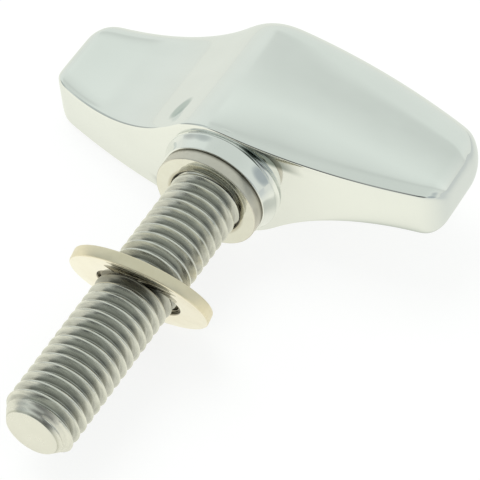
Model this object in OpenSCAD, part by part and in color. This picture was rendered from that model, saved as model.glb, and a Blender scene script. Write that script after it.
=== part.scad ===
// Wing bolt lying on a table: a polished die-cast handle with two sculpted wings, a threaded
// steel stud cast into it, a thin washer tight against the handle's boss, and a larger washer
// that hangs loose on the thread.
//
// Every piece is shaped about the stud's own axis, with the stud's tip at height zero, the wings
// along X and the handle above. lay() then puts it down the way the bolt comes to rest: on the
// straight flank of one wing and on the rim of the loose washer, with the stud level.

/* [Stud] */
// Major diameter of the thread
stud_d = 8; // [6:0.2:10]
// Pitch of the thread
thread_pitch = 1.25; // [0.75:0.25:2]
// Length from the stud's tip to the boss it comes out of
stud_length = 35; // [28:1:80]
// Diameter of the flat face on the tip
tip_d = 5.8; // [4.4:0.1:6.6]
// Length of the chamfer from the tip's face to the full thread
tip_chamfer = 1.5; // [0.5:0.1:2.5]
// Length that is cast into the handle, boss included
anchor_length = 12; // [6:0.5:15]

/* [Handle: plan] */
// Span over the tips of both wings
span = 46.8; // [38:0.2:70]
// Radius of the rounded hub in the middle
hub_r = 7.25; // [6.5:0.05:9]
// Distance that each half of the hub leans towards its scooped side
hub_lean = 0.7; // [0.5:0.05:1.2]
// Slope of each wing's straight flank
flank_slope = 7.4; // [4:0.1:10]
// How far a straight flank bulges at half its height
flank_crown = 0.3; // [0.1:0.05:0.6]
// Thickness of a wing at its waist, where the scoop is deepest
waist = 6; // [4:0.1:8]
// Distance of the waist from the wing's tip
waist_inset = 5.9; // [3:0.1:9]

/* [Handle: height] */
// Height of the handle over the hub, from its underside to its crest
head_height = 18.2; // [12:0.2:26]
// Rise of the underside from the hub to a tip
under_rise = 3.9; // [1:0.1:6]
// Fall of the crest from the hub to a tip
crest_fall = 3.8; // [1:0.1:6]

/* [Handle: rounding] */
// Radius along the crest's two long edges
crest_edge_r = 2.4; // [0.8:0.1:3]
// Radius along the underside's two long edges
under_edge_r = 0.4; // [0.2:0.05:1]
// Radius of a tip's two upright edges
tip_edge_r = 1.8; // [0.5:0.1:2.5]
// Radius between a tip and the underside
tip_under_r = 2.1; // [0.5:0.1:4]
// Radius between a tip and the crest
tip_crest_r = 2.5; // [0.5:0.1:4]

/* [Boss] */
// Height of the boss, from its seat to the underside of the hub
boss_height = 2; // [1.8:0.1:4]
// Diameter of the boss at its seat
boss_d = 12.2; // [11:0.1:13]
// Diameter of the collar that the boss flares out to
collar_d = 13.3; // [12:0.1:14]

/* [Seated washer] */
// Outer diameter
seated_d = 11.8; // [10.5:0.1:14]
// Thickness
seated_t = 1.5; // [0.5:0.1:2.5]
// Clearance of its bore over the stud, on the diameter
seated_clearance = 0.2; // [0.1:0.1:1]

/* [Loose washer] */
// Outer diameter
loose_d = 15.4; // [13:0.1:19]
// Thickness
loose_t = 1.35; // [0.6:0.05:2]
// Clearance of its bore over the stud, on the diameter
loose_clearance = 1.15; // [0.5:0.05:2]
// Distance of its middle from the stud's tip
loose_at = 20.6; // [8:0.1:26]
// Angle from straight down to the side that its lower edge swings to
loose_turn = 11.7; // [-30:0.1:30]

/* [Fits] */
// Gap between the stud's cast-in end and the metal around it
cast_gap = 0.01; // [0.005:0.005:0.05]
// Play left across the tilted washer's bore where it binds on the thread
hang_play = 0.1; // [0.05:0.01:0.3]
// Chamfer on the edges of both washers
washer_chamfer = 0.15; // [0.05:0.05:0.3]

/* [Smoothness] */
// Stretches along the handle between its rounded tips
span_steps = 44; // [20:2:60]
// Steps in each quarter round
round_steps = 6; // [3:1:8]

/* [Hidden] */
$fn = 96;

stud_r = stud_d / 2;
half_span = span / 2;
underside = stud_length + boss_height;
crest = underside + head_height;
bolt_length = crest;

// Basic thread form: crest an eighth of the pitch, root a quarter, flanks at 60 degrees.
groove_mouth = thread_pitch * 7 / 8;
groove_floor = thread_pitch / 4;
groove_depth = (groove_mouth - groove_floor) / 2 / tan(30);

// The straight flank ends where it meets the hub's circle without a corner.
flank_end_x = hub_lean - hub_r * sin(flank_slope);
flank_end_y = hub_r * cos(flank_slope);

// The scoop's circle touches the hub's circle from outside and leaves the waist's thickness.
scoop_x = half_span - waist_inset;
scoop_low = waist - straight_side(scoop_x);
scoop_run = scoop_x - hub_lean;
scoop_r = (pow(scoop_run, 2) + pow(scoop_low, 2) - pow(hub_r, 2)) / (2 * (hub_r - scoop_low));
hub_end_x = hub_lean + scoop_run * hub_r / (hub_r + scoop_r);

// The loose washer leans until its bore binds on the thread, less the play.
loose_bore = stud_d + loose_clearance;
loose_lean = acos((stud_d + hang_play) / norm([loose_bore, loose_t])) - atan(loose_t / loose_bore);
loose_dip = sin(loose_lean) * cos(loose_turn);
loose_reach = loose_d / 2 * sqrt(1 - pow(loose_dip, 2)) + (loose_t / 2 - washer_chamfer) * loose_dip;
// Where its bore's upper edge drops into a groove of the thread.
hang_at = loose_at - loose_bore / 2 * sin(loose_lean) - loose_t / 2 * cos(loose_lean);

// The axis lies as high as the flank under it, or higher if the washer's rim needs it.
flank_reach = hub_r - hub_lean * sin(flank_slope) + flank_crown;
axis_height = max(flank_reach, loose_reach - hang_play / 2);
// The washer's rim stands on the table, as far as the play in its bore lets it.
loose_lift = max(-hang_play / 2, min(hang_play / 2, loose_reach - axis_height));

// Distance from the handle's middle line to a straight flank, at x along that wing.
function straight_side(x) = flank_end_y - (flank_end_x + x) * tan(flank_slope);

// Half-width on the +Y side: a straight flank, then the hub's arc, then the scoop's arc.
function back_side(x) =
    x < flank_end_x ? straight_side(-x) :
    x < hub_end_x ? sqrt(pow(hub_r, 2) - pow(x - hub_lean, 2)) :
    scoop_low + scoop_r - sqrt(pow(scoop_r, 2) - pow(x - scoop_x, 2));

// 1 on the straight side of the +Y face, 0 on its scooped side, smooth across the hub.
function straightness(x) = let(u = min(1, max(0, 0.5 - x / (2 * hub_r)))) u * u * (3 - 2 * u);

// How far a corner of radius r draws a face back at a distance from the corner.
function draw_back(distance, r) =
    distance < r ? r - sqrt(pow(r, 2) - pow(r - distance, 2)) : 0;

// Points of an arc about [cx, cy], from angle a0 to a1.
function arc(cx, cy, r, a0, a1, steps) = [
    for (i = [0:steps])
        let(a = a0 + (a1 - a0) * i / steps)
        [cx + r * cos(a), cy + r * sin(a)]
];

// One upright face of a section, from low to high, without its ends.
function wall(y, low, high, crown) = [
    for (i = [1:round_steps - 1])
        let(h = i / round_steps)
        [y + crown * pow(sin(180 * h), 2), low + (high - low) * h]
];

// Cross-section of the handle at x: underside, both faces and crest, with rounded edges.
function section(x) =
    let(
        tip = half_span - abs(x),
        back = back_side(x) - draw_back(tip, tip_edge_r),
        front = -back_side(-x) + draw_back(tip, tip_edge_r),
        low = underside + under_rise * pow(x / half_span, 2) + draw_back(tip, tip_under_r),
        high = crest - crest_fall * pow(x / half_span, 2) - draw_back(tip, tip_crest_r),
        re = min(crest_edge_r, (back - front) * 0.45),
        ru = min(under_edge_r, (back - front) * 0.45)
    )
    [
        for (p = concat(
            arc(back - ru, low + ru, ru, -90, 0, round_steps / 2),
            wall(back, low + ru, high - re, flank_crown * straightness(x)),
            arc(back - re, high - re, re, 0, 90, round_steps),
            arc(front + re, high - re, re, 90, 180, round_steps),
            [for (q = wall(-front, high - re, low + ru, flank_crown * straightness(-x))) [-q.x, q.y]],
            arc(front + ru, low + ru, ru, 180, 270, round_steps / 2)
        )) [x, p.x, p.y]
    ];

// Stations along the handle: close together round both tips, even between them.
tip_zone = max(tip_edge_r, tip_under_r, tip_crest_r);
tip_stations = [for (i = [0:round_steps]) half_span - tip_zone * (1 - cos(90 * i / round_steps))];
stations = concat(
    [for (x = tip_stations) -x],
    [for (i = [1:span_steps - 1]) (half_span - tip_zone) * (2 * i / span_steps - 1)],
    [for (i = [round_steps:-1:0]) tip_stations[i]]
);

// A closed skin through a list of sections that all have as many points.
module loft(sections) {
    rings = len(sections);
    around = len(sections[0]);
    polyhedron(
        points = [for (s = sections) each s],
        faces = concat(
            [[for (j = [0:around - 1]) j]],
            [[for (j = [around - 1:-1:0]) (rings - 1) * around + j]],
            [
                for (i = [0:rings - 2], j = [0:around - 1], half = [0, 1])
                    let(
                        near = i * around + j,
                        next = i * around + (j + 1) % around,
                        far = near + around,
                        far_next = next + around
                    )
                    half == 0 ? [near, far, far_next] : [near, far_next, next]
            ]
        )
    );
}

// Boss under the hub: a seat that flares to a rounded collar, a shallow neck, then a fillet
// that spreads into the underside.
module boss() {
    seat_r = boss_d / 2;
    collar_r = collar_d / 2;
    lip = boss_height * 0.14;
    lip_at = stud_length + boss_height * 0.83;
    fillet_r = boss_height * 0.8;
    rotate_extrude()
    polygon(concat(
        [[0, stud_length], [seat_r - lip / 2, stud_length], [seat_r, stud_length + lip / 2]],
        [[seat_r + (collar_r - seat_r) * 0.3, stud_length + boss_height * 0.45]],
        arc(collar_r - lip, lip_at, lip, -20, 80, round_steps),
        arc(collar_r - lip + fillet_r * cos(35), underside - boss_height * 0.01 - fillet_r * sin(35),
            fillet_r, 145, 115, round_steps),
        [[collar_r, underside + boss_height], [0, underside + boss_height]]
    ));
}

// Flat washer with chamfered edges, its lower face at height zero.
module washer(outer_d, bore_d, t) {
    c = washer_chamfer;
    rotate_extrude()
    polygon([
        [bore_d / 2, 0], [outer_d / 2 - c, 0], [outer_d / 2, c],
        [outer_d / 2, t - c], [outer_d / 2 - c, t], [bore_d / 2, t]
    ]);
}

// Puts what is drawn about the stud's axis down on the table, stud level along Y.
module lay() {
    translate([0, -bolt_length / 2, axis_height])
    rotate([-90, 0, 0])
    children();
}

module wing_handle() {
    color([0.82, 0.85, 0.83])
    lay()
    rotate([0, 0, -flank_slope])
    difference() {
        union() {
            loft([for (x = stations) section(x)]);
            boss();
        }
        translate([0, 0, stud_length - 1])
        cylinder(r = stud_r + cast_gap, h = anchor_length + cast_gap + 1);
    }
}

module threaded_stud() {
    color([0.62, 0.62, 0.57])
    lay()
    rotate_extrude()
    polygon([
        [0, 0],
        [tip_d / 2, 0],
        [stud_r, tip_chamfer],
        [stud_r, hang_at - groove_mouth / 2],
        [stud_r - groove_depth, hang_at - groove_floor / 2],
        [stud_r - groove_depth, hang_at + groove_floor / 2],
        [stud_r, hang_at + groove_mouth / 2],
        [stud_r, stud_length + anchor_length],
        [0, stud_length + anchor_length]
    ]);
}

module seated_washer() {
    color([0.74, 0.71, 0.64])
    lay()
    translate([0, 0, stud_length - seated_t])
    washer(seated_d, stud_d + seated_clearance, seated_t);
}

module loose_washer() {
    color([0.83, 0.77, 0.64])
    lay()
    translate([0, -loose_lift, loose_at])
    rotate([loose_lean, 0, -loose_turn])
    translate([0, 0, -loose_t / 2])
    washer(loose_d, loose_bore, loose_t);
}

wing_handle();
threaded_stud();
seated_washer();
loose_washer();
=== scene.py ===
# %% [markdown]
# A wing bolt lies on a white table: a polished, chromed die casting with two sculpted wings, a
# threaded steel stud that is cast into it, a thin nickel washer tight against its boss, and a
# larger washer that hangs loose on the thread. The solid model of those four pieces is already
# here and stays the reference for every size and place. This lesson gives each piece the
# surface that the plain solids lack: real thread, soft edges, and four metal finishes.

# %% Start from the solid model
import math

import bmesh
import bpy
from mathutils import Matrix, Vector


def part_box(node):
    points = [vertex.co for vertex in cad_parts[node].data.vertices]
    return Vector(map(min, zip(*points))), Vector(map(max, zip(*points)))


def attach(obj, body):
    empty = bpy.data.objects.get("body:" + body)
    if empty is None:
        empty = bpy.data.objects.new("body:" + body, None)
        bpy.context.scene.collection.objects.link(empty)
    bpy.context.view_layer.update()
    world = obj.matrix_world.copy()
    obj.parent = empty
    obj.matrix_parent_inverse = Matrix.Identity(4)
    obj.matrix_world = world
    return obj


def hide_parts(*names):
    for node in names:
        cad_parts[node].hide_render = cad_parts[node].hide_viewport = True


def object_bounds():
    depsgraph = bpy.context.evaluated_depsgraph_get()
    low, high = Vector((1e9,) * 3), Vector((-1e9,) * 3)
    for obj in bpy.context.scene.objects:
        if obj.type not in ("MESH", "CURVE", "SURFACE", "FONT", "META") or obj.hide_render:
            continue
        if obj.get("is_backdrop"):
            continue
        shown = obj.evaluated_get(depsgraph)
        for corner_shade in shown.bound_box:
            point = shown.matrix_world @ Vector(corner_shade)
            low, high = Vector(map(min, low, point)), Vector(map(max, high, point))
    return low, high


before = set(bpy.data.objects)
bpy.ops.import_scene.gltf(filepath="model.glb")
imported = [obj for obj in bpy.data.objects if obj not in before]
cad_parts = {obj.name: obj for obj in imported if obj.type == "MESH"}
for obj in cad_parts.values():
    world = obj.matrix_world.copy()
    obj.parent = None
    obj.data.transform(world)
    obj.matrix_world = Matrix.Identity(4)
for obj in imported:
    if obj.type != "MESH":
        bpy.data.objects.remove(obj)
cad_low, cad_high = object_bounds()
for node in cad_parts:
    low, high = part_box(node)
    print(node, "is", " x ".join("%.2f" % (1000 * side) for side in high - low), "mm")

# %% [markdown]
# A turned or cast part is easiest to shape about its own axis. So every piece here is built as
# if the bolt stood on its tip, in millimetres, with heights running up along the stud and the
# wings spread along X. One matrix then lays that upright bolt down exactly where the solid
# model lies. Its place is read off the solid stud, whose low end along Y is the tip and whose
# middle height is the axis. The matrix goes into the mesh and not onto the object, so every
# object stays at the origin, and patterns that read Object coordinates keep their true scale.

# %% Lay the upright bolt down
MM = 0.001
stud_low, stud_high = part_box("threaded_stud")
axis_height = (stud_low.z + stud_high.z) / 2
tip = Vector((0, stud_low.y, axis_height))
tip_over = Matrix.Rotation(math.radians(-90), 4, "X")
lay_down = Matrix.Translation(tip) @ tip_over @ Matrix.Scale(MM, 4)
print("the tip lies at y = %.1f mm, %.2f mm above the table" % (tip.y / MM, tip.z / MM))

# %% Make an upright mesh a finished piece
def add_piece(name, bm, material, node):
    """Lays an upright mesh down as a piece on the root body, and hides the solid model's node.
    """
    bmesh.ops.recalc_face_normals(bm, faces=bm.faces)
    bmesh.ops.transform(bm, matrix=lay_down, verts=bm.verts)
    mesh = bpy.data.meshes.new(name)
    bm.to_mesh(mesh)
    bm.free()
    mesh.shade_smooth()
    mesh.materials.append(material)
    piece = bpy.data.objects.new(name, mesh)
    bpy.context.scene.collection.objects.link(piece)
    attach(piece, "root")
    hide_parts(node)
    print(name, "has", len(mesh.polygons), "faces")
    return piece


# %% [markdown]
# The bolt is seen from the tip's side, well above the table and turned a little, through a
# long lens, so that lines hardly converge. Setting a camera up in a studio takes a lens and five
# measures, and they are used here too: an angle round the object, an angle above the table, a
# roll about the line of sight, a distance, and the point that it looks at.

# %% Aim the camera
CAMERA_ROUND = 26.34
CAMERA_ABOVE = 51.95
CAMERA_ROLL = 4.01
CAMERA_DISTANCE = 267.48 * MM
LOOK_AT = Vector((5.53 * MM, 3.43 * MM, axis_height))
SENSOR_WIDTH = 36
LENS = 196.6

camera_data = bpy.data.cameras.new("camera")
camera_data.sensor_width = SENSOR_WIDTH
camera_data.lens = LENS
camera_data.clip_start = 0.01
camera = bpy.data.objects.new("camera", camera_data)
bpy.context.scene.collection.objects.link(camera)
bpy.context.scene.camera = camera
camera.matrix_world = (
    Matrix.Translation(LOOK_AT)
    @ Matrix.Rotation(math.radians(CAMERA_ROUND), 4, "Z")
    @ Matrix.Rotation(math.radians(90 - CAMERA_ABOVE), 4, "X")
    @ Matrix.Rotation(math.radians(CAMERA_ROLL), 4, "Z")
    @ Matrix.Translation((0, 0, CAMERA_DISTANCE))
)
print("the camera stands at", [round(v / MM) for v in camera.matrix_world.translation], "mm")

# %% [markdown]
# Shader trees read best as short sentences, and these few helpers are the words. One adds a
# node and fills its inputs, either with plain values or with the outputs of other nodes. Two
# short ones do a sum and split a place into its X, Y and Z. One turns a number into a soft step,
# one lays a colour over another through a mask, and one colours along a number.

# %% Add nodes and do sums
def add(tree, kind, inputs, **settings):
    """Adds a node, then fills its inputs from plain values or from other nodes' outputs."""
    made = tree.nodes.new(kind)
    for name, value in settings.items():
        setattr(made, name, value)
    for name, value in inputs.items():
        if isinstance(value, bpy.types.NodeSocket):
            tree.links.new(value, made.inputs[name])
        else:
            made.inputs[name].default_value = value
    return made


def calculate(tree, operation, *values):
    """One sum on numbers, such as MULTIPLY or ABSOLUTE."""
    return add(tree, "ShaderNodeMath", dict(enumerate(values)), operation=operation).outputs[0]


def split(tree, vector):
    """The outputs X, Y and Z of a vector."""
    return add(tree, "ShaderNodeSeparateXYZ", {0: vector}).outputs


print("nodes can be added")

# %% Blend values and colours
def soft_step(tree, value, start, end, low=0.0, high=1.0):
    """Goes smoothly from low to high while the value goes from start to end."""
    return add(tree, "ShaderNodeMapRange", {
        "Value": value, "From Min": start, "From Max": end, "To Min": low, "To Max": high,
    }, interpolation_type="SMOOTHSTEP").outputs["Result"]


def lay_over(tree, mask, under, over, how="MIX"):
    """Lays one colour over another where the mask is 1."""
    colours = {"A": under, "B": over}
    for name, colour in colours.items():
        if isinstance(colour, tuple):
            colours[name] = (*colour, 1)
    mix = add(tree, "ShaderNodeMix", {"Factor": mask, **colours},
              data_type="RGBA", blend_type=how)
    return mix.outputs["Result"]


def ramp(tree, value, stops):
    """Colours along a number, given as (position, colour) stops."""
    made = add(tree, "ShaderNodeValToRGB", {"Fac": value})
    elements = made.color_ramp.elements
    elements[0].position, elements[1].position = stops[0][0], stops[-1][0]
    for position, colour in stops[1:-1]:
        elements.new(position)
    for element, (position, colour) in zip(elements, stops):
        element.color = (*colour, 1)
    return made.outputs["Color"]


print("values and colours can be blended")

# %% [markdown]
# Polished metal has hardly any colour of its own: it shows what stands round it. The bolt
# stands in a light tent of pale cloth, which is open at the front, where the camera is. So the
# world shader is a model of that tent, as seen from the bolt. A ramp over the height of a ray
# makes the cloth, a little greyer towards the top. A second ramp, from front to back, makes the
# folds of the back wall, which show as soft stripes along a wing. The left wall hangs smooth.

# %% Hang the cloth of the tent
world = bpy.data.worlds.new("tent")
bpy.context.scene.world = world
world.use_nodes = True
tree = world.node_tree
tree.nodes.clear()
ray_way = add(tree, "ShaderNodeTexCoord", {}).outputs["Generated"]
ray_parts = split(tree, ray_way)

tent = ramp(tree, ray_parts["Z"], [
    (0.00, (0.82, 0.86, 0.80)),
    (0.30, (0.82, 0.87, 0.82)),
    (0.70, (0.78, 0.84, 0.79)),
    (0.92, (0.74, 0.80, 0.75)),
])
FOLDS = (
    (0.300, 0.92), (0.450, 0.85), (0.510, 0.97), (0.560, 1.07),
    (0.595, 0.98), (0.635, 0.88), (0.675, 0.88), (0.720, 0.99),
)
back_wall = ramp(tree, ray_parts["Y"], [(at, (grey, grey, grey)) for at, grey in FOLDS])
off_left_wall = soft_step(tree, ray_parts["X"], -0.66, -0.56)
tent = lay_over(tree, off_left_wall, tent, back_wall, "MULTIPLY")
print("the back wall is shaded in", len(FOLDS), "steps")

# %% [markdown]
# The cloth doesn't close all round. The room behind the opening is dark, and so are the gaps
# beside it, and it is these darker places that let polished metal look like metal. Each is a
# soft patch round one direction: its colour is full inside a first angle, in degrees, and gone
# past a second one. The camera itself sees plain white, so the background stays clean.

# %% Open the front of the tent
OPENINGS = (
    ((0.42, 0.47, 0.48), (0.92, -0.27, 0.29), 9, 26),  # the gap on the right
    ((0.45, 0.48, 0.46), (-0.93, -0.35, 0.12), 10, 30),  # the gap on the left
    ((0.50, 0.55, 0.53), (-0.77, -0.30, 0.55), 6, 22),  # above the gap on the left
    ((0.36, 0.38, 0.36), (0.05, -0.93, 0.31), 19, 38),  # the whole front
    ((0.06, 0.065, 0.07), (-0.22, -0.94, 0.25), 10, 23),  # the dark room, to the left
    ((0.06, 0.065, 0.07), (0.48, -0.80, 0.34), 9, 24),  # the dark room, to the right
)
for colour, towards, inner, outer in OPENINGS:
    aim = add(tree, "ShaderNodeVectorMath", {0: ray_way, 1: Vector(towards).normalized()},
              operation="DOT_PRODUCT").outputs["Value"]
    near = soft_step(tree, aim, math.cos(math.radians(outer)), math.cos(math.radians(inner)))
    tent = lay_over(tree, near, tent, colour)

tent_light = add(tree, "ShaderNodeBackground", {"Color": tent})
white = add(tree, "ShaderNodeBackground", {"Color": (1, 1, 1, 1)})
ray = add(tree, "ShaderNodeLightPath", {})
mix = add(tree, "ShaderNodeMixShader", {
    0: ray.outputs["Is Camera Ray"], 1: tent_light.outputs[0], 2: white.outputs[0],
})
add(tree, "ShaderNodeOutputWorld", {"Surface": mix.outputs[0]})
print("the tent has", len(tree.nodes), "nodes")

# %% [markdown]
# The table is a sheet of white paper. What the camera sees of it is partly diffuse paper, which
# keeps the bolt's soft shadow, and mostly a glow that brings the open paper to clean white. The
# metal mirrors the same paper with painted light and shade in its colour and glow, because the
# shade under the raised wing is what darkens the collar: creamy in front of the handle, where
# warm light falls, a little greener behind it, greyer to the right, away from the lamp, and a
# painted shadow, darkest close under the raised wing. Is Glossy Ray and Is Transmission Ray
# choose that second mixture.

# %% Spread the paper
PAPER_R = 3
bm = bmesh.new()
bmesh.ops.create_circle(bm, cap_ends=True, segments=64, radius=PAPER_R)
paper_mesh = bpy.data.meshes.new("paper")
bm.to_mesh(paper_mesh)
bm.free()
paper = bpy.data.objects.new("paper", paper_mesh)
bpy.context.scene.collection.objects.link(paper)
paper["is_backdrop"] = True

sheet = bpy.data.materials.new("white_paper")
sheet.use_nodes = True
paper_mesh.materials.append(sheet)
print("the paper is", round(paper.dimensions.x, 1), "m across")

# %% Let the paper glow
tree = sheet.node_tree
tree.nodes.clear()


def glowing_paper(paper_colour, glow_colour, glow):
    """Diffuse paper with some glow of its own."""
    paper_light = add(tree, "ShaderNodeBsdfDiffuse", {"Color": paper_colour})
    own_light = add(tree, "ShaderNodeEmission", {"Color": glow_colour, "Strength": glow})
    both = add(tree, "ShaderNodeAddShader", {0: paper_light.outputs[0], 1: own_light.outputs[0]})
    return both.outputs[0]


print("the paper can glow")

# %% Shade the mirrored paper
MIRRORED_GREY = 0.25
spot = add(tree, "ShaderNodeTexCoord", {}).outputs["Object"]
along = split(tree, spot)
behind = soft_step(tree, along["Y"], 0, 30 * MM)
to_the_right = soft_step(tree, along["X"], 10 * MM, 70 * MM)
from_wing = add(tree, "ShaderNodeVectorMath", {0: spot, 1: (19 * MM, 12 * MM, 0)},
                operation="DISTANCE").outputs["Value"]
under_wing = soft_step(tree, from_wing, 11 * MM, 3 * MM)
# Painted light and shade for the mirrored paper, with a painted shadow under the raised wing.
shade = lay_over(tree, behind, (1.0, 0.995, 0.885), (0.83, 0.85, 0.79))
shade = lay_over(tree, to_the_right, shade, (0.78, 0.80, 0.84), "MULTIPLY")
shade = lay_over(tree, under_wing, shade, (0.70, 0.72, 0.72), "MULTIPLY")
faded = lay_over(tree, 1.0, shade, (MIRRORED_GREY, MIRRORED_GREY, MIRRORED_GREY), "MULTIPLY")
print("the shade of the paper takes", len(tree.nodes), "nodes")

# %% Choose the paper by the kind of ray
SEEN_GREY = 0.24
SEEN_GLOW = 0.81
MIRRORED_GLOW = 0.80
ray = add(tree, "ShaderNodeLightPath", {}).outputs
mix = add(tree, "ShaderNodeMixShader", {
    0: calculate(tree, "MAXIMUM", ray["Is Glossy Ray"], ray["Is Transmission Ray"]),
    1: glowing_paper((SEEN_GREY, SEEN_GREY, SEEN_GREY, 1), (1, 1, 1, 1), SEEN_GLOW),
    2: glowing_paper(faded, shade, MIRRORED_GLOW),
})
add(tree, "ShaderNodeOutputMaterial", {"Surface": mix.outputs[0]})
print(sheet.name, "has", len(tree.nodes), "nodes")

# %% [markdown]
# The cloth of the tent already gives most of the light. One large soft lamp above adds a
# direction to it, so that the bolt has a shadow. It is left out of mirrored rays, because on
# chrome it would show as a hard white spot.

# %% Hang one large soft lamp
lamp_data = bpy.data.lights.new("soft_lamp", "AREA")
lamp_data.shape = "DISK"
lamp_data.size = 0.5
lamp_data.energy = 1.6
lamp = bpy.data.objects.new("soft_lamp", lamp_data)
lamp.location = (-0.3, 0.1, 0.7)
lamp.rotation_euler = lamp.location.to_track_quat("Z", "Y").to_euler()
lamp.visible_glossy = False
bpy.context.scene.collection.objects.link(lamp)
bpy.context.scene.view_settings.view_transform = "Standard"
print("the lamp gives", round(lamp_data.energy, 1), "W")

# %% [markdown]
# All four finishes are plated metal, so they share one recipe: a metallic shader, noise that
# makes its colour and roughness uneven, and a fine bump. Every pattern is measured in
# millimetres from the axis of its own piece. A Mapping node of the Texture type does that: it
# is given the same matrix that puts the piece in its place, and undoes it. Stretching a grain
# along one side turns round specks into brush lines.

# %% Start a metal
def start_metal(name):
    """A metallic material, as (material, tree, shader)."""
    material = bpy.data.materials.new(name)
    material.use_nodes = True
    tree = material.node_tree
    shader = tree.nodes["Principled BSDF"]
    shader.inputs["Metallic"].default_value = 1
    return material, tree, shader


print("a metal can be started")

# %% Measure from a piece's own axis
def own_place(tree, matrix):
    """Object coordinates in millimetres from a piece's own axis, as (place, radius, height)."""
    where, turned, size = (lay_down @ matrix).decompose()
    spot = add(tree, "ShaderNodeTexCoord", {}).outputs["Object"]
    place = add(tree, "ShaderNodeMapping", {
        "Vector": spot, "Location": where, "Rotation": turned.to_euler(), "Scale": size,
    }, vector_type="TEXTURE").outputs["Vector"]
    flat = add(tree, "ShaderNodeVectorMath", {0: place, 1: (1, 1, 0)},
               operation="MULTIPLY").outputs[0]
    radius = add(tree, "ShaderNodeVectorMath", {0: flat}, operation="LENGTH").outputs["Value"]
    return place, radius, split(tree, place)["Z"]


UPRIGHT = Matrix.Identity(4)
turn = [round(math.degrees(angle)) for angle in lay_down.to_euler()]
print("an upright place is laid down by", turn, "degrees")

# %% Make grains and bumps
def grain(tree, place, size, detail=3.0):
    """Noise whose grains have this size in millimetres along X, Y and Z."""
    fit = add(tree, "ShaderNodeMapping", {"Vector": place, "Scale": [1 / side for side in size]})
    return add(tree, "ShaderNodeTexNoise", {"Vector": fit.outputs[0], "Scale": 1.0,
                                            "Detail": detail}).outputs["Fac"]


def bump(tree, shader, layers):
    """Adds up bumps, given as (noise, depth in millimetres) from coarse to fine."""
    normal = {}
    for value, depth in layers:
        step = add(tree, "ShaderNodeBump", {"Height": value, "Distance": depth * MM, **normal})
        normal = {"Normal": step.outputs["Normal"]}
    tree.links.new(step.outputs["Normal"], shader.inputs["Normal"])


print("grains and bumps can be made")

# %% [markdown]
# The casting is polished and chromed. Chrome is neutral and almost a mirror. Polishing on a
# wheel leaves very faint lines along the wings, and a zinc casting is never quite flat under
# its plate, so reflections of straight edges waver slightly. The plate is a little hazier in
# some places than in others.

# %% Polish the chrome
FLANK_SLOPE = math.radians(7.4)
along_wings = Matrix.Rotation(-FLANK_SLOPE, 4, "Z")

chrome, tree, shader = start_metal("polished_chrome")
place, radius, height = own_place(tree, along_wings)
haze = grain(tree, place, (7, 7, 4), 4.0)
tint = lay_over(tree, soft_step(tree, haze, 0.3, 0.7), (0.82, 0.835, 0.82), (0.84, 0.855, 0.84))
tree.links.new(soft_step(tree, haze, 0.35, 0.7, 0.05, 0.10), shader.inputs["Roughness"])
bump(tree, shader, [
    (grain(tree, place, (12, 12, 9), 1.0), 0.010),
    (grain(tree, place, (3, 3, 2.5), 1.0), 0.0008),
    (grain(tree, place, (6, 0.2, 0.2)), 0.0002),
])
print(chrome.name, "has", len(tree.nodes), "nodes")

# %% [markdown]
# A long, leaning dark spot is painted at the foot of each scoop, in the pocket there, as a
# painted dark reflection. A half turn swaps the two pockets, so X is multiplied by the sign of
# Y, and one soft spot then serves both sides. The tight corner between the underside of a raised
# wing and the collar gets painted shade, darkest there.
# The corner has a limit on each side, so its mask is six soft steps, multiplied.

# %% Paint a dark reflection in the pockets
POCKET_X = 6.4
POCKET_Z = 40.25
POCKET_LEAN = math.radians(-12)
POCKET_HALF_WIDTH = 0.85
POCKET_HALF_HEIGHT = 1.75

across, through, up = split(tree, place)
side = calculate(tree, "SIGN", through)
turned_x = calculate(tree, "MULTIPLY", across, side)
folded = add(tree, "ShaderNodeCombineXYZ", {"X": turned_x, "Z": up}).outputs[0]
pocket = add(tree, "ShaderNodeMapping", {
    "Vector": folded, "Location": (POCKET_X, 0, POCKET_Z), "Rotation": (0, POCKET_LEAN, 0),
    "Scale": (POCKET_HALF_WIDTH, 1, POCKET_HALF_HEIGHT),
}, vector_type="TEXTURE").outputs[0]
from_pocket = add(tree, "ShaderNodeVectorMath", {0: pocket}, operation="LENGTH").outputs["Value"]
# A painted dark reflection at the foot of each scoop.
tint = lay_over(tree, soft_step(tree, from_pocket, 1.1, 0.6), tint, (0.49, 0.55, 0.53))
print("each pocket is", 2 * POCKET_HALF_WIDTH, "by", 2 * POCKET_HALF_HEIGHT, "mm")

# %% Paint shade beside the collar
across, through, up = split(tree, own_place(tree, UPRIGHT)[0])
turned_x = calculate(tree, "MULTIPLY", across, side)
off_middle = calculate(tree, "ABSOLUTE", through)
corner_shade = 1.0
for value, outside, inside in (
    (radius, 10.8, 8.2),  # near the collar
    (height, 38.3, 37.7),  # low on the casting, and not up the flank
    (height, 36.6, 36.9),  # not on the boss
    (turned_x, -1.2, -3.0),  # on one side of the boss, which the half turn swaps
    (off_middle, 5.0, 5.7),  # by the edge of the underside, and not in its middle
    (off_middle, 6.85, 6.65),  # not on the flank
):
    corner_shade = calculate(tree, "MULTIPLY", soft_step(tree, value, outside, inside), corner_shade)
# Painted shade in the tight corner between the wing's underside and the collar.
tint = lay_over(tree, corner_shade, tint, (0.26, 0.29, 0.27))
tree.links.new(tint, shader.inputs["Base Color"])
print(chrome.name, "now has", len(tree.nodes), "nodes")

# %% [markdown]
# Washers are punched from sheet. The punch shears the rim and the bore, which stay rougher, and
# the rim darker, and tumbling in a barrel smooths the two faces before they are nickel plated.
# The bore is painted much darker still, as shade. So the finish of a washer changes with the
# distance from its own axis: a bright face between the two sheared edges, with a soft change
# over each rounded edge. The small washer is a cool nickel, and the large one a warmer, yellower
# one. Painted shade darkens the small one round its bore and in its joint with the boss, and
# the large one has none.

# %% Mix the washers' nickel
SHEAR_STARTS = 0.14
SHEAR_FULL = 0.04
BORE_SHADE = 0.35


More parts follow.
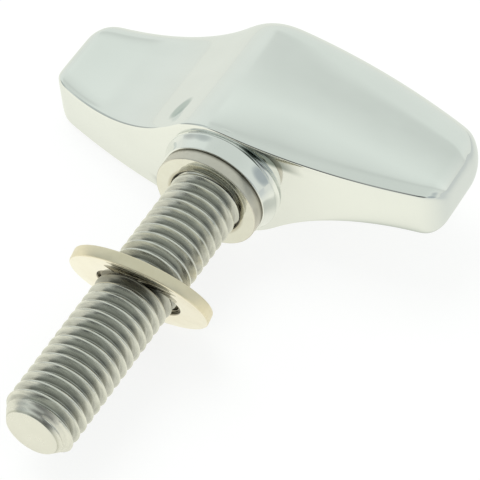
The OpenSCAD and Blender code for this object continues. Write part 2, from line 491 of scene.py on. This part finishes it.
def washer_metal(name, matrix, bore_r, outer_r, thickness, face, rim, painted_shade):
    """Nickel, bright on the faces and duller on the sheared rim, with painted shade in the bore.
    """
    material, tree, shader = start_metal(name)
    place, radius, height = own_place(tree, matrix)
    sheared = soft_step(tree, radius, outer_r - SHEAR_STARTS, outer_r - SHEAR_FULL)
    in_bore = soft_step(tree, radius, bore_r + SHEAR_STARTS, bore_r + SHEAR_FULL)
    specks = grain(tree, place, (0.35, 0.35, 0.35), 4.0)
    clouds = grain(tree, place, (2.5, 2.5, 2.5))
    colour = lay_over(tree, sheared, face, rim)
    # Painted shade in the bore.
    colour = lay_over(tree, in_bore, colour, tuple(BORE_SHADE * part for part in rim))
    worn = soft_step(tree, clouds, 0.35, 0.75, 0.0, 0.35)
    colour = lay_over(tree, worn, colour, (0.88, 0.86, 0.82), "MULTIPLY")
    # Painted shade in the joint with the boss and round the bore, as much as painted_shade
    # gives.
    in_joint = soft_step(tree, height, thickness - 0.50, thickness - 0.10, 0.0, painted_shade)
    round_bore = soft_step(tree, radius, bore_r + 0.55, bore_r + 0.15, 0.0, painted_shade)
    colour = lay_over(tree, in_joint, colour, (0.40, 0.39, 0.36), "MULTIPLY")
    colour = lay_over(tree, round_bore, colour, (0.70, 0.67, 0.61), "MULTIPLY")
    tree.links.new(colour, shader.inputs["Base Color"])
    smooth_face = soft_step(tree, clouds, 0.3, 0.7, 0.04, 0.09)
    rough_rim = soft_step(tree, specks, 0.3, 0.7, 0.28, 0.42)
    rough = add(tree, "ShaderNodeMix", {"Factor": sheared, "A": smooth_face, "B": rough_rim})
    tree.links.new(rough.outputs["Result"], shader.inputs["Roughness"])
    bump(tree, shader, [(clouds, 0.004), (specks, 0.0012)])
    print(name, "has", len(tree.nodes), "nodes")
    return material


print("the recipe for nickel is ready")

# %% [markdown]
# Each finish is measured from its own washer's axis, so the places of the washers are settled
# before the washers are shaped. The small one ends where the boss begins. The large one has a
# bore wider than the thread, so it hangs free: it leans, swings a little about the stud, and
# sags until its bore catches.

# %% Size and place the washers
STUD_LENGTH = 35
SEATED_D = 11.8
SEATED_BORE = 8.09
SEATED_T = 1.5
LOOSE_D = 15.4
LOOSE_BORE = 9.15
LOOSE_T = 1.35
LOOSE_AT = 20.6
LOOSE_SAG = 0.046
LOOSE_SWING = -11.7
LOOSE_LEAN = 20.47

SEATED_PLACE = Matrix.Translation((0, 0, STUD_LENGTH - SEATED_T))
LOOSE_PLACE = (
    Matrix.Translation((0, LOOSE_SAG, LOOSE_AT))
    @ Matrix.Rotation(math.radians(LOOSE_SWING), 4, "Z")
    @ Matrix.Rotation(math.radians(LOOSE_LEAN), 4, "X")
    @ Matrix.Translation((0, 0, -LOOSE_T / 2))
)
print("the large washer leans", LOOSE_LEAN, "degrees")

# %% Plate the washers
nickel = washer_metal("nickel_plate", SEATED_PLACE, SEATED_BORE / 2, SEATED_D / 2, SEATED_T,
                      (0.79, 0.78, 0.71), (0.65, 0.62, 0.56), 1.0)
warm_nickel = washer_metal("warm_nickel", LOOSE_PLACE, LOOSE_BORE / 2, LOOSE_D / 2, LOOSE_T,
                           (0.93, 0.88, 0.77), (0.79, 0.72, 0.56), 0.0)

# %% [markdown]
# The thread is rolled, not cut. Two dies press it into the blank and burnish its crests and
# flanks. The colour follows the depth below the crests: bright on the crests, and darker down
# the flanks towards the roots, which is painted shade. Depth is the radius that a smooth
# chamfered pin would have at that height, less the radius of the spot itself. Streaks make that
# painted shade
# uneven: they are thin along the stud and long round it, as the dies' marks are.

# %% Plate the stud
STUD_R = 4.0
CREST_R = STUD_R - 0.02
TIP_R = 2.9
TIP_CHAMFER = 1.5
TIP_SKEW = 0.5

steel, tree, shader = start_metal("plated_steel")
place, radius, height = own_place(tree, UPRIGHT)
pin = add(tree, "ShaderNodeMapRange", {
    "Value": height, "From Min": 0.0, "From Max": TIP_CHAMFER + TIP_SKEW,
    "To Min": TIP_R, "To Max": CREST_R,
}).outputs["Result"]
off_end_face = soft_step(tree, height, 0.02, 0.10)
depth = calculate(tree, "MULTIPLY", calculate(tree, "SUBTRACT", pin, radius), off_end_face)
streaks = grain(tree, place, (1.8, 1.8, 0.12), 4.0)
blotches = grain(tree, place, (1.6, 1.6, 0.7), 4.0)
# Painted shade in the thread's roots, darker with depth.
root_shade = calculate(tree, "ADD", calculate(tree, "MULTIPLY", streaks, depth), depth)
shaded_thread = ramp(tree, root_shade, [
    (0.00, (0.77, 0.76, 0.71)),
    (0.08, (0.72, 0.72, 0.67)),
    (0.30, (0.60, 0.60, 0.56)),
    (0.70, (0.49, 0.49, 0.46)),
    (1.00, (0.38, 0.38, 0.35)),
])
print(steel.name, "has", len(tree.nodes), "nodes")

# %% [markdown]
# The sawn and faced end has no thread and stays bright, with a darker line round its edge. The
# thread itself has been handled, and is streaked and blotched more than the chamfer. Shade is
# painted onto the thread beside the loose washer, so that patch is measured from the washer's
# own middle. It is painted lighter on the raised wing's side.

# %% Wear the thread and paint shade beside the washer
SHADE_REACH = 2.0
BURR_HEIGHT = 0.12
wear = soft_step(tree, height, 0.0, TIP_CHAMFER + 0.3, 0.12, 0.36)
from_washer = own_place(tree, LOOSE_PLACE @ Matrix.Translation((0, 0, LOOSE_T / 2)))[2]
from_washer = calculate(tree, "ABSOLUTE", from_washer)
side_shade = soft_step(tree, split(tree, place)["X"], 3.8, 1.4, 0.25, 1.0)
for worn, colour in (
    (soft_step(tree, streaks, 0.40, 0.65, 0.0, wear), (0.74, 0.75, 0.76)),
    (soft_step(tree, blotches, 0.48, 0.75, 0.0, wear), (0.72, 0.72, 0.68)),
    (soft_step(tree, height, 0.30, BURR_HEIGHT), (0.78, 0.78, 0.75)),
    # Painted shade on the thread beside the loose washer.
    (soft_step(tree, from_washer, LOOSE_T / 2 + SHADE_REACH, LOOSE_T / 2, 0.0, side_shade),
     (0.36, 0.34, 0.30)),
):
    mask = calculate(tree, "MULTIPLY", worn, off_end_face)
    shaded_thread = lay_over(tree, mask, shaded_thread, colour, "MULTIPLY")
tree.links.new(shaded_thread, shader.inputs["Base Color"])
print(steel.name, "now has", len(tree.nodes), "nodes")

# %% [markdown]
# Dies leave a thread fairly smooth, and a lathe leaves rings on the chamfer. A Wave texture with
# bands along Z makes the rings. It takes the sine of 20 times its coordinate, so its scale is
# tau / 20, divided by the distance between two rings.

# %% Turn rings on the chamfer
RING_APART = 0.42
faced = soft_step(tree, height, TIP_CHAMFER + 0.3, TIP_CHAMFER - 0.3)
rolled_rough = soft_step(tree, streaks, 0.3, 0.7, 0.16, 0.32)
faced_rough = soft_step(tree, streaks, 0.3, 0.7, 0.26, 0.36)
rough = add(tree, "ShaderNodeMix", {"Factor": faced, "A": rolled_rough, "B": faced_rough})
tree.links.new(rough.outputs["Result"], shader.inputs["Roughness"])
rings = add(tree, "ShaderNodeTexWave", {
    "Vector": place, "Scale": math.tau / 20 / RING_APART, "Distortion": 1.2, "Detail": 2.0,
}, bands_direction="Z").outputs["Fac"]
for mask in (faced, off_end_face):
    rings = calculate(tree, "MULTIPLY", rings, mask)
bump(tree, shader, [(blotches, 0.002), (streaks, 0.003), (rings, 0.016)])
print("the chamfer has about", round(TIP_CHAMFER / RING_APART, 1), "rings")

# %% [markdown]
# Everything round on this bolt is turned: a profile of radius against height is spun once
# about the axis, as on a lathe. The profile is a chain of edges. A full spin with use_merge
# joins its last step to its first, and merging doubles then closes the poles on the axis.

# %% Set up the lathe
WELD = 0.0005
ROUND_STEPS = 128


def arc(cx, cy, r, start, end, steps):
    """Points on an arc about (cx, cy), with angles in degrees."""
    angles = [math.radians(start + (end - start) * i / steps) for i in range(steps + 1)]
    return [(cx + r * math.cos(a), cy + r * math.sin(a)) for a in angles]


def profile(bm, points):
    """Joined edges through (radius, height) points, ready for a spin."""
    verts = [bm.verts.new((r, 0, z)) for r, z in points]
    return verts + [bm.edges.new(pair) for pair in zip(verts, verts[1:])]


def turn_profile(bm, points, steps=ROUND_STEPS):
    """Turns a profile once round the axis and closes its seam and poles."""
    bmesh.ops.spin(bm, geom=profile(bm, points), cent=(0, 0, 0), axis=(0, 0, 1),
                   angle=math.tau, steps=steps, use_merge=True)
    bmesh.ops.remove_doubles(bm, verts=bm.verts, dist=WELD)


print("the lathe takes", ROUND_STEPS, "steps in a turn")

# %% [markdown]
# The thread is a screw surface, so a spin makes it too, with a rise of one pitch in its turn.
# The profile is one pitch long: a flat crest a ninth of a pitch wide with soft corners, two
# flanks at about 60 degrees to each other, and the round root that rolling gives. One turn is
# spun and its copies are stacked a pitch apart, which is much quicker than one long spin.
# Merging doubles welds them into one skin. Both ends are then drawn together to a point,
# outside the length of the stud, so that the screw is a closed solid.

# %% Draw one pitch of the thread
PITCH = 1.25
THREAD_DEPTH = 0.61 * PITCH

root_r = 0.13 * PITCH
crest = PITCH / 9
crest_ends = [(CREST_R, crest / 2 - 0.02), (CREST_R - 0.025, crest / 2 + 0.03)]
one_pitch = (
    [(CREST_R, 0)]
    + crest_ends
    + arc(STUD_R - THREAD_DEPTH + root_r, PITCH / 2, root_r, 240, 120, 4)
    + [(r, PITCH - z) for r, z in reversed(crest_ends)]
    + [(CREST_R, PITCH)]
)
print("one pitch has", len(one_pitch), "points")

# %% Roll the thread
ANCHOR_LENGTH = 12
TURN_STEPS = 64
THREAD_PHASE = 2.03

stud_end = STUD_LENGTH + ANCHOR_LENGTH
turns = math.ceil(stud_end / PITCH) + 4
bm = bmesh.new()
start = profile(bm, [(r, z - THREAD_PHASE * PITCH) for r, z in one_pitch])
bmesh.ops.spin(bm, geom=start, cent=(0, 0, 0), axis=(0, 0, 1), dvec=(0, 0, PITCH / TURN_STEPS),
               angle=math.tau, steps=TURN_STEPS)
one_turn = bm.verts[:] + bm.edges[:] + bm.faces[:]
for turn in range(1, turns):
    copied = bmesh.ops.duplicate(bm, geom=one_turn)["geom"]
    raised = [v for v in copied if isinstance(v, bmesh.types.BMVert)]
    bmesh.ops.translate(bm, vec=(0, 0, turn * PITCH), verts=raised)
bmesh.ops.remove_doubles(bm, verts=bm.verts, dist=WELD)
print("the screw has", turns, "turns")

# %% Close the ends of the screw
def scratch_object(name, bm):
    """A throwaway object for a Boolean to work on."""
    bmesh.ops.recalc_face_normals(bm, faces=bm.faces)
    mesh = bpy.data.meshes.new(name)
    bm.to_mesh(mesh)
    bm.free()
    made = bpy.data.objects.new(name, mesh)
    bpy.context.scene.collection.objects.link(made)
    return made


for low_end, apex in ((True, -3.3 * PITCH), (False, (turns - 0.3) * PITCH)):
    rim = [e for e in bm.edges if e.is_boundary and (e.verts[0].co.z < 0) == low_end]
    grown = bmesh.ops.extrude_edge_only(bm, edges=rim)["geom"]
    tips = [v for v in grown if isinstance(v, bmesh.types.BMVert)]
    bmesh.ops.pointmerge(bm, verts=tips, merge_co=(0, 0, apex))
still_open = sum(e.is_boundary for e in bm.edges)
print("the screw has", len(bm.faces), "faces and", still_open, "open edges")
screw = scratch_object("screw", bm)

# %% [markdown]
# On the real stud the thread is rolled onto a blank that already has its chamfered tip, so the
# first turns fade out on the chamfer. The chamfer isn't quite square to the axis: one side is
# longer than the other, where the thread starts. Keeping only what the screw and the blank have
# in common gives exactly that, and also cuts both ends flat. At the other end the thread runs
# out onto a plain shank under the small washer, so a cone and a cylinder are joined on there.

# %% Turn the blank
BLANK_R = STUD_R + 0.02
bm = bmesh.new()
turn_profile(bm, [
    (0, 0), (TIP_R - 0.12, 0), (TIP_R - 0.03, 0.03), (TIP_R + 0.03, BURR_HEIGHT),
    (BLANK_R, TIP_CHAMFER + 0.02), (BLANK_R, stud_end), (0, stud_end),
])
short_side = Vector((0.8, -0.6, 0)) * TIP_SKEW / STUD_R
for vert in bm.verts:
    if abs(vert.co.z - TIP_CHAMFER) < 0.1:
        vert.co.z -= vert.co.dot(short_side)
blank = scratch_object("blank", bm)
print("the blank is", stud_end, "mm long")

# %% Turn the shank
RUN_OUT_AT = 33.0
RUN_OUT_LENGTH = 0.7
shank_end = stud_end - 0.5
bm = bmesh.new()
turn_profile(bm, [
    (0, RUN_OUT_AT), (STUD_R - THREAD_DEPTH, RUN_OUT_AT), (CREST_R, RUN_OUT_AT + RUN_OUT_LENGTH),
    (CREST_R, shank_end), (0, shank_end),
])
shank = scratch_object("shank", bm)
print("the thread runs out", RUN_OUT_AT, "mm from the tip")

# %% [markdown]
# Two Boolean modifiers on the blank do the cutting and the joining, and the result is read back
# as one mesh. The edges of the cuts are sharp, and those of the round root are not, so sharp
# edges are chosen by their angle.

# %% Cut the thread to its blank
SHARP_FROM = math.radians(24)
for operation, other in (("INTERSECT", screw), ("UNION", shank)):
    step = blank.modifiers.new(operation, "BOOLEAN")
    step.operation = operation
    step.solver = "MANIFOLD"
    step.object = other
bpy.context.view_layer.update()
turned = bmesh.new()
turned.from_object(blank, bpy.context.evaluated_depsgraph_get())
for spent in (blank, screw, shank):
    bpy.data.objects.remove(spent)
stud = add_piece("stud_thread", turned, steel, "threaded_stud")
stud.data.set_sharp_from_angle(angle=SHARP_FROM)

# %% [markdown]
# A washer is the simplest turned piece: a rectangle spun round the axis, whose four circular
# edges are then bevelled, because tumbling rounds them. Each washer is shaped flat on the
# lathe and moved to its place on the stud by the matrix that its finish already uses. The
# large one hangs in a groove of the thread, so it leans.

# %% Punch the washers
SEATED_EDGE = 0.16
LOOSE_EDGE = 0.18


def washer(outer_d, bore_d, thickness, edge, place):
    """A flat ring with rounded edges, moved to its place on the stud."""
    bm = bmesh.new()
    r, b, t = outer_d / 2, bore_d / 2, thickness
    turn_profile(bm, [(b, 0), (r, 0), (r, t), (b, t), (b, 0)])
    rims = [e for e in bm.edges if abs(e.verts[0].co.z - e.verts[1].co.z) < WELD
            and abs(e.verts[0].co.xy.length - e.verts[1].co.xy.length) < WELD]
    bmesh.ops.bevel(bm, geom=rims, offset=edge, offset_type="OFFSET", affect="EDGES", segments=3,
                    profile=0.5, material=-1)
    bmesh.ops.transform(bm, matrix=place, verts=bm.verts)
    return bm


bm = washer(SEATED_D, SEATED_BORE, SEATED_T, SEATED_EDGE, SEATED_PLACE)
add_piece("washer_seated", bm, nickel, "seated_washer")
bm = washer(LOOSE_D, LOOSE_BORE, LOOSE_T, LOOSE_EDGE, LOOSE_PLACE)
add_piece("washer_loose", bm, warm_nickel, "loose_washer")

# %% [markdown]
# The handle is a lofted casting. Seen along the stud, each wing has one straight side and one
# scooped side, and a half turn swaps them. So its shape is one cross-section that changes along
# the span: the straight sides, the round hub and the scoops give its thickness, and the
# underside and the crest give its height. These are the same curves as the solid model's.

# %% Draw the handle's plan
SPAN = 46.8
HUB_R = 7.25
HUB_LEAN = 0.7
WAIST = 6
WAIST_INSET = 5.9
half_span = SPAN / 2
flank_end_x = HUB_LEAN - HUB_R * math.sin(FLANK_SLOPE)
flank_end_y = HUB_R * math.cos(FLANK_SLOPE)


def straight_side(x):
    """How far the straight side is from the middle line."""
    return flank_end_y - (flank_end_x + x) * math.tan(FLANK_SLOPE)


scoop_x = half_span - WAIST_INSET
scoop_low = WAIST - straight_side(scoop_x)
scoop_run = scoop_x - HUB_LEAN
scoop_r = (scoop_run**2 + scoop_low**2 - HUB_R**2) / (2 * (HUB_R - scoop_low))
hub_end_x = HUB_LEAN + scoop_run * HUB_R / (HUB_R + scoop_r)


def back_side(x):
    """The plan's back edge: straight, then round the hub, then through the scoop."""
    if x < flank_end_x:
        return straight_side(-x)
    if x < hub_end_x:
        return math.sqrt(HUB_R**2 - (x - HUB_LEAN) ** 2)
    return scoop_low + scoop_r - math.sqrt(scoop_r**2 - (x - scoop_x) ** 2)


print("the scoop has a radius of", round(scoop_r, 1), "mm")

# %% [markdown]
# A straight side is not quite flat: it swells by a few tenths of a millimetre between its two
# edges, and the buffing wheel has pulled down its lower shoulder. That swell is what spreads a
# reflection over the whole flank instead of showing it as one flat patch. The edges follow as
# arcs: a broad one at the crest and a tight one at the underside, and neither takes more than
# its share of the thickness.

# %% Swell the sides
SWELL_AT = 45.1
SWELL_RUN = 7.7
SHOULDER = 0.04
SHOULDER_RUN = 1.6
WALL_STEPS = 10
WALL_CROWDING = 1.3


def straightness(x):
    """1 on the straight side, fading to 0 on the scooped one."""
    u = min(1, max(0, 0.5 - x / (2 * HUB_R)))
    return u * u * (3 - 2 * u)


def wall(y, low, high, crown):
    """Points up one side of the section, closer together near its worn shoulder."""
    points = []
    for i in range(1, WALL_STEPS):
        z = low + (high - low) * (i / WALL_STEPS) ** WALL_CROWDING
        swell = 1 - ((z - SWELL_AT) / SWELL_RUN) ** 2
        worn = max(0, 1 - (z - low) / SHOULDER_RUN) ** 2 * SHOULDER
        points.append((y + crown * swell - worn, z))
    return points


print("a side swells most", SWELL_AT, "mm from the tip of the stud")

# %% Draw a cross-section
UNDERSIDE = 37
CREST = 55.2
UNDER_RISE = 3.9
CREST_FALL = 3.8
CREST_EDGE_R = 2.4
UNDER_EDGE_R = 0.4
TIP_EDGE_R = 1.8
TIP_UNDER_R = 2.1
TIP_CREST_R = 2.5
FLANK_CROWN = 0.3
EDGE_SHARE = 0.45
CREST_EDGE_STEPS = 5
UNDER_EDGE_STEPS = 2


def draw_back(distance, r):
    """How far an edge of radius r has drawn back at this distance from the end."""
    return r - math.sqrt(r**2 - (r - distance) ** 2) if distance < r else 0


def section(x):
    """The closed cross-section at one place along the span, as (thickness, height) points."""
    tip = half_span - abs(x)
    back = back_side(x) - draw_back(tip, TIP_EDGE_R)
    front = -back_side(-x) + draw_back(tip, TIP_EDGE_R)
    low = UNDERSIDE + UNDER_RISE * (x / half_span) ** 2 + draw_back(tip, TIP_UNDER_R)
    high = CREST - CREST_FALL * (x / half_span) ** 2 - draw_back(tip, TIP_CREST_R)
    most = (back - front) * EDGE_SHARE
    re = min(CREST_EDGE_R, most)
    ru = min(UNDER_EDGE_R, most)
    mid = (back + front) / 2
    far_wall = wall(back, low + ru, high - re, FLANK_CROWN * straightness(x))
    near_wall = wall(-front, low + ru, high - re, FLANK_CROWN * straightness(-x))
    return (
        arc(back - ru - SHOULDER, low + ru, ru, -90, 0, UNDER_EDGE_STEPS)
        + far_wall
        + arc(back - re, high - re, re, 0, 90, CREST_EDGE_STEPS)
        + [(mid, high)]
        + arc(front + re, high - re, re, 90, 180, CREST_EDGE_STEPS)
        + [(-y, z) for y, z in reversed(near_wall)]
        + arc(front + ru + SHOULDER, low + ru, ru, 180, 270, UNDER_EDGE_STEPS)
        + [(front + (back - front) * share, low) for share in (0.3, 0.5, 0.7)]
    )


around = len(section(0))
print("a section has", around, "points")

# %% [markdown]
# A grid is wrapped round those sections like a sleeve: its columns go round a section, and its
# rows run along the span, closer together near the wing tips, where the edges turn in. Two
# shrinking rings and a last face close each end. Subdivision then makes the sleeve smooth
# enough to mirror.

# %% Space the sections
TIP_STEPS = 6
MIDDLE_STEPS = 40
CAP_SHARES = (0.25, 0.65)
tip_zone = max(TIP_EDGE_R, TIP_UNDER_R, TIP_CREST_R)
tip_angles = [math.radians(90 * i / TIP_STEPS) for i in range(TIP_STEPS + 1)]
tips = [half_span - tip_zone * (1 - math.cos(angle)) for angle in tip_angles]
middle = [(half_span - tip_zone) * (2 * i / MIDDLE_STEPS - 1) for i in range(1, MIDDLE_STEPS)]
stations = [-x for x in tips] + middle + tips[::-1]


def cap(x, share):
    """The end section, shrunk about its own middle."""
    ring = section(x)
    cy = sum(y for y, z in ring) / around
    cz = sum(z for y, z in ring) / around
    return [(cy + (y - cy) * share, cz + (z - cz) * share) for y, z in ring]


rows = (
    [(-half_span, cap(-half_span, share)) for share in CAP_SHARES]
    + [(x, section(x)) for x in stations]
    + [(half_span, cap(half_span, share)) for share in reversed(CAP_SHARES)]
)
print("the sleeve has", len(rows), "rows")

# %% Loft the handle
bm = bmesh.new()
grid = bmesh.ops.create_grid(bm, x_segments=around, y_segments=len(rows) - 1, size=1)["verts"]
for j, (x, ring) in enumerate(rows):
    for i in range(around + 1):
        y, z = ring[i % around]
        grid[j * (around + 1) + i].co = (x, y, z)
bmesh.ops.remove_doubles(bm, verts=bm.verts, dist=WELD)
bmesh.ops.holes_fill(bm, edges=[e for e in bm.edges if e.is_boundary], sides=0)
bmesh.ops.transform(bm, matrix=along_wings, verts=bm.verts)
still_open = sum(e.is_boundary for e in bm.edges)
print("the sleeve has", len(bm.faces), "faces and", still_open, "open edges")

# %% [markdown]
# The boss under the hub is turned in the same mesh: a short flared skirt, a rounded lip, and a
# cove that runs up into the underside. Its upper end is buried in the hub, so no gap can show.

# %% Turn the boss
SEAT = STUD_LENGTH
SEAT_R = 6.1
SKIRT_TOP = 35.9
SKIRT_TOP_R = 6.26
COLLAR_R = 6.65
LIP_R = 0.28
LIP_AT = 36.66
COVE_R = 1.6
COVE_AT = 36.062
COVE_OUT = 1.31
BURIED_AT = 39
BOSS_STEPS = 96

lip_x = COLLAR_R - LIP_R
seat_edge = [(SEAT_R - 0.2, SEAT), (SEAT_R - 0.04, SEAT + 0.02), (SEAT_R, SEAT + 0.1)]
boss_profile = (
    [(0, SEAT)]
    + seat_edge
    + [(SKIRT_TOP_R, SKIRT_TOP)]
    + arc(lip_x, LIP_AT, LIP_R, -20, 80, 6)
    + arc(lip_x + COVE_OUT, COVE_AT, COVE_R, 145, 105, 6)
    + [(SEAT_R + 0.5, BURIED_AT), (0, BURIED_AT)]
)
turn_profile(bm, boss_profile, BOSS_STEPS)
handle = add_piece("handle_casting", bm, chrome, "wing_handle")
smooth = handle.modifiers.new("smooth", "SUBSURF")
smooth.levels = 2
smooth.render_levels = 2

# %% [markdown]
# The sizes of the visual pieces' box and of the solid model's box are printed side by side.

# %% Print both sizes
bpy.context.view_layer.update()
low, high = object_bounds()
for name, visual, solid in zip("XYZ", high - low, cad_high - cad_low):
    print(name, "is %.3f mm, and the solid model's is %.3f mm" % (visual / MM, solid / MM))
